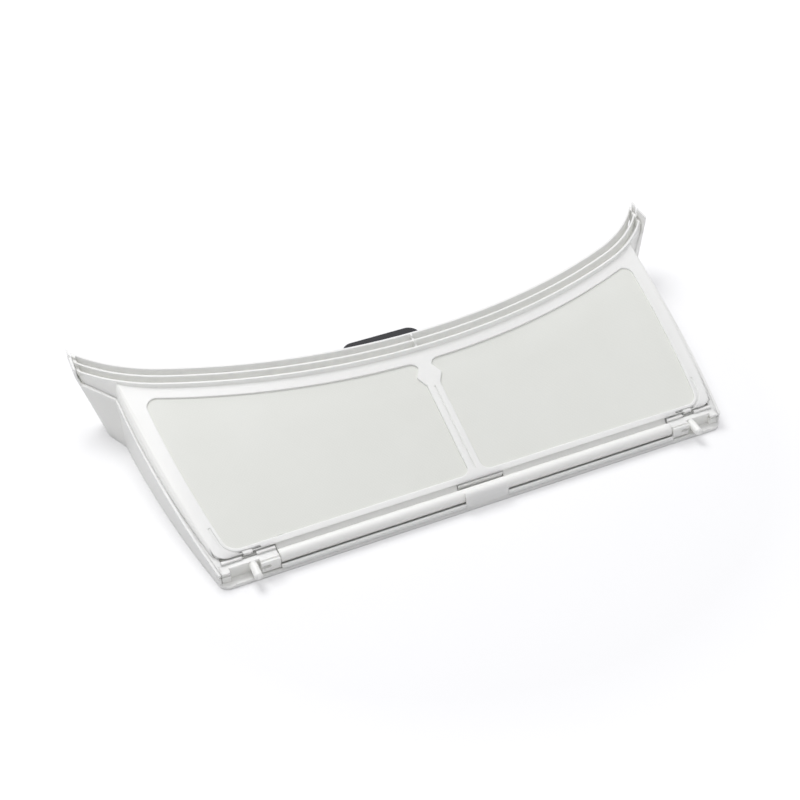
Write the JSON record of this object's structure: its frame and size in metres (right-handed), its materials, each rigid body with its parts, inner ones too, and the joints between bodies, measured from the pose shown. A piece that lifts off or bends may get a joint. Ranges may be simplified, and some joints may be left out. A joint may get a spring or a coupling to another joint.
{
  "type": "tumble dryer lint filter",
  "caption": "Fold-open lint filter: a white moulded wedge with mesh windows, a grooved curved collar, an air mouth, a hinge bar with locating pegs and a dark pull tab.",
  "frame": {"origin": "middle of the outline, on the plane the filter lies on", "axes": "+X along the hinge bar, +Y from the hinge bar to the collar, +Z out of the front screen, upwards as it lies"},
  "size_m": [0.4108, 0.1892, 0.051],
  "materials": {
    "shell": "smooth satin white",
    "mesh": "fine plain weave",
    "tab": "satin charcoal"
  },
  "bodies": {
    "rear": {"rear_half": "shell", "rear_mesh_left": "mesh", "rear_mesh_right": "mesh", "handle": "tab"},
    "front": {"front_half": "shell", "front_mesh_left": "mesh", "front_mesh_right": "mesh"}
  },
  "joints": [
    {"name": "front_hinge", "type": "hinge", "parent": "rear", "child": "front", "pos_m": [0, -0.0832, 0.0075], "axis": [1, 0, 0], "range_deg": [0, 100]}
  ]
}
